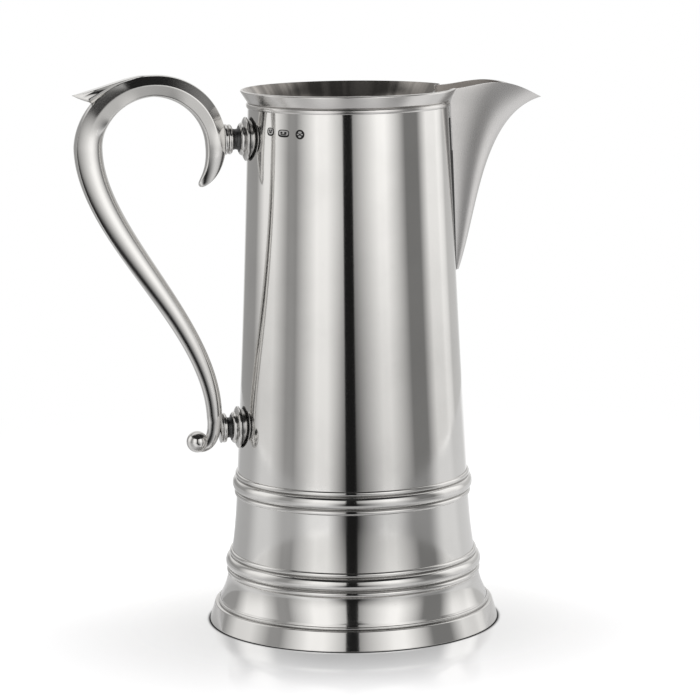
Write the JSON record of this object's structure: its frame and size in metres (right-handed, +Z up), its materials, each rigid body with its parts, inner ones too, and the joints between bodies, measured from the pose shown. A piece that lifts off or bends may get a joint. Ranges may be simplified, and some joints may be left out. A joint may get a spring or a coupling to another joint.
{
  "type": "flagon",
  "caption": "Lidless pewter flagon with a tapered banded body, spreading foot, pointed pouring spout and a hooked S-scroll handle on turned collars.",
  "frame": {"origin": "on the axis of the body, on the plane that the foot stands on", "axes": "+Z up along the axis of the body, +X towards the spout, the handle is on the -X side"},
  "size_m": [0.1977, 0.122, 0.2316],
  "materials": {
    "polished_pewter": "polished pewter, fine lathe lines, light handling wear",
    "satin_pewter": "satin polished pewter sheet",
    "inner_pewter": "dulled pewter, unpolished inside"
  },
  "bodies": {
    "root": {"body_drum": "polished_pewter", "rim_moulding": "polished_pewter", "spout": "satin_pewter", "upper_band": "polished_pewter", "waist_drum": "polished_pewter", "lower_band": "polished_pewter", "floor_disc": "inner_pewter", "foot_wall": "polished_pewter", "foot_ring": "polished_pewter", "handle": "polished_pewter", "thumb_spur": "polished_pewter", "ball_terminal": "polished_pewter", "upper_rosette": "polished_pewter", "upper_collar": "polished_pewter", "lower_rosette": "polished_pewter", "lower_collar": "polished_pewter"}
  },
  "joints": []
}
